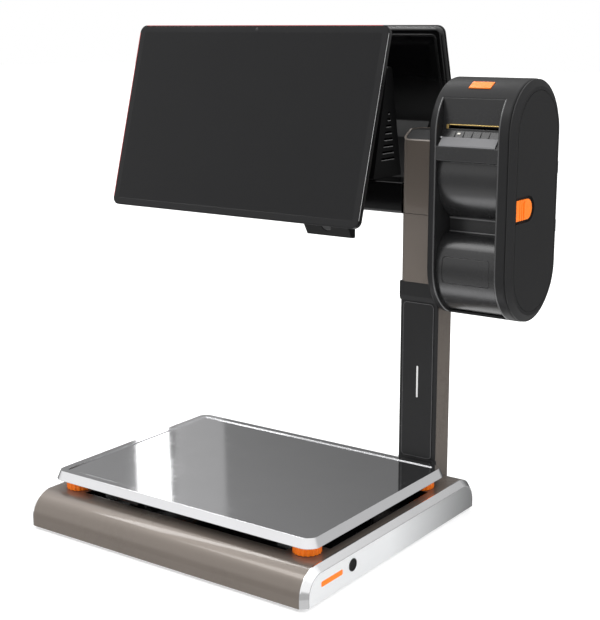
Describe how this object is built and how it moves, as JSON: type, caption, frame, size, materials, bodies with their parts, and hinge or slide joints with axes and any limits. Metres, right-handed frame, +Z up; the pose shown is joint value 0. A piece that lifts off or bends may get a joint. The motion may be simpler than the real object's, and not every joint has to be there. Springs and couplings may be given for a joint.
{
  "type": "self checkout kiosk",
  "caption": "Countertop self checkout kiosk: a weighing base with a removable tray, a column, back-to-back tilting displays on an arm, and a label printer pod.",
  "frame": {"origin": "bottom centre of the whole kiosk, on the counter under its feet", "axes": "+X to the right as the customer faces the front display, +Y to the back, +Z up"},
  "size_m": [0.5382, 0.4724, 0.5943],
  "materials": {
    "taupe": "satin anodised",
    "dark_plastic": "fine texture",
    "black_gloss": "polished",
    "chrome": "polished",
    "panel_silver": "satin",
    "stainless": "mirror polished",
    "cover_glass": "anti-glare glass with a black back print",
    "lcd": "satin",
    "orange": "semi gloss",
    "rubber": "matte",
    "steel": "satin",
    "aluminium": "machined",
    "board": "solder mask",
    "paper": "matte",
    "nylon": "satin",
    "smoked": "smoked, glossy"
  },
  "bodies": {
    "root": {"base_feet": "rubber", "base_plate": "steel", "base_shell": "taupe", "camera_housing": "black_gloss", "camera_lens": "smoked", "column_cover": "dark_plastic", "column_inlay": "dark_plastic", "column_post": "taupe", "computer_board": "board", "connector_panel": "dark_plastic", "cross_arm": "black_gloss", "door_hinge_pins": "steel", "end_cap_left": "chrome", "end_cap_right": "chrome", "end_cap_screws": "steel", "foot_collar": "dark_plastic", "front_display_bracket": "steel", "head_cap": "dark_plastic", "head_collar": "dark_plastic", "head_lower": "taupe", "head_upper": "taupe", "hub_housing": "black_gloss", "knob_studs": "steel", "load_cell": "aluminium", "load_cell_foot": "steel", "peel_edge": "steel", "power_button_socket": "dark_plastic", "power_inlet": "dark_plastic", "print_frame": "steel", "print_head": "aluminium", "printer_front_panel": "dark_plastic", "printer_shell": "dark_plastic", "printer_window": "smoked", "rear_display_bracket": "steel", "recess_liner": "black_gloss", "side_panel_left": "panel_silver", "side_panel_right": "panel_silver"},
    "weigh_platform_body": {"weigh_platform": "aluminium", "platform_buffers": "rubber"},
    "tray_body": {"tray": "stainless"},
    "power_button_body": {"power_button": "black_gloss"},
    "front_display": {"front_display_glass": "cover_glass", "front_display_lcd": "lcd", "front_display_back": "black_gloss"},
    "rear_display": {"rear_display_glass": "cover_glass", "rear_display_lcd": "lcd", "rear_display_back": "black_gloss"},
    "door_body": {"printer_door": "dark_plastic"},
    "latch_body": {"latch": "orange"},
    "feed_button_body": {"feed_button": "orange"},
    "platen_body": {"platen_roller": "rubber", "platen_gear": "nylon"},
    "motor_gear_body": {"motor_gear": "nylon"},
    "label_roll_body": {"label_roll": "paper", "roll_spindle": "nylon"},
    "liner_spool_body": {"liner_spool": "nylon"},
    "wheel_front_left": {"knob_front_left": "orange"},
    "wheel_front_right": {"knob_front_right": "orange"},
    "wheel_rear_left": {"knob_rear_left": "orange"},
    "wheel_rear_right": {"knob_rear_right": "orange"}
  },
  "joints": [
    {"name": "platform_dip", "type": "slide", "parent": "root", "child": "weigh_platform_body", "axis": [0, 0, 1], "range_m": [-0.0003, 0], "stiffness_N_per_m": 200000},
    {"name": "tray_lift", "type": "slide", "parent": "weigh_platform_body", "child": "tray_body", "axis": [0, 0, 1], "range_m": [0, 0.08]},
    {"name": "power_press", "type": "slide", "parent": "root", "child": "power_button_body", "axis": [-1, 0, 0], "range_m": [0, 0.0015], "stiffness_N_per_m": 600},
    {"name": "front_display_tilt", "type": "hinge", "parent": "root", "child": "front_display", "pos_m": [-0.07815, 0.03801, 0.48561], "axis": [1, 0, 0], "range_deg": [-8, 8]},
    {"name": "rear_display_tilt", "type": "hinge", "parent": "root", "child": "rear_display", "pos_m": [-0.07815, 0.17709, 0.48561], "axis": [-1, 0, 0], "range_deg": [-8, 8]},
    {"name": "door_swing", "type": "hinge", "parent": "root", "child": "door_body", "pos_m": [0.25825, 0.1804, 0.3188], "axis": [0, 0, 1], "range_deg": [0, 105]},
    {"name": "latch_slide", "type": "slide", "parent": "door_body", "child": "latch_body", "axis": [0, 1, 0], "range_m": [0, 0.006]},
    {"name": "feed_press", "type": "slide", "parent": "root", "child": "feed_button_body", "axis": [0, 0.4787, -0.878], "range_m": [0, 0.0015], "stiffness_N_per_m": 600},
    {"name": "platen_spin", "type": "hinge", "parent": "root", "child": "platen_body", "pos_m": [0.17375, 0.0778, 0.4721], "axis": [1, 0, 0], "continuous": true},
    {"name": "motor_gear_spin", "type": "hinge", "parent": "root", "child": "motor_gear_body", "pos_m": [0.17375, 0.0912, 0.4721], "axis": [1, 0, 0], "continuous": true},
    {"name": "label_roll_spin", "type": "hinge", "parent": "root", "child": "label_roll_body", "pos_m": [0.17575, 0.1135, 0.4254], "axis": [1, 0, 0], "continuous": true},
    {"name": "liner_spool_spin", "type": "hinge", "parent": "root", "child": "liner_spool_body", "pos_m": [0.17575, 0.1135, 0.3168], "axis": [1, 0, 0], "continuous": true},
    {"name": "wheel_front_left_turn", "type": "hinge", "parent": "root", "child": "wheel_front_left", "pos_m": [-0.18325, -0.1831, 0.0436], "axis": [0, 0, 1], "continuous": true},
    {"name": "wheel_front_right_turn", "type": "hinge", "parent": "root", "child": "wheel_front_right", "pos_m": [0.15675, -0.1831, 0.0436], "axis": [0, 0, 1], "continuous": true},
    {"name": "wheel_rear_left_turn", "type": "hinge", "parent": "root", "child": "wheel_rear_left", "pos_m": [-0.18325, 0.0579, 0.0436], "axis": [0, 0, 1], "continuous": true},
    {"name": "wheel_rear_right_turn", "type": "hinge", "parent": "root", "child": "wheel_rear_right", "pos_m": [0.15675, 0.0579, 0.0436], "axis": [0, 0, 1], "continuous": true}
  ],
  "couplings": [
    {"joint": "motor_gear_spin", "follows": "platen_spin", "ratio": -1.6}
  ]
}
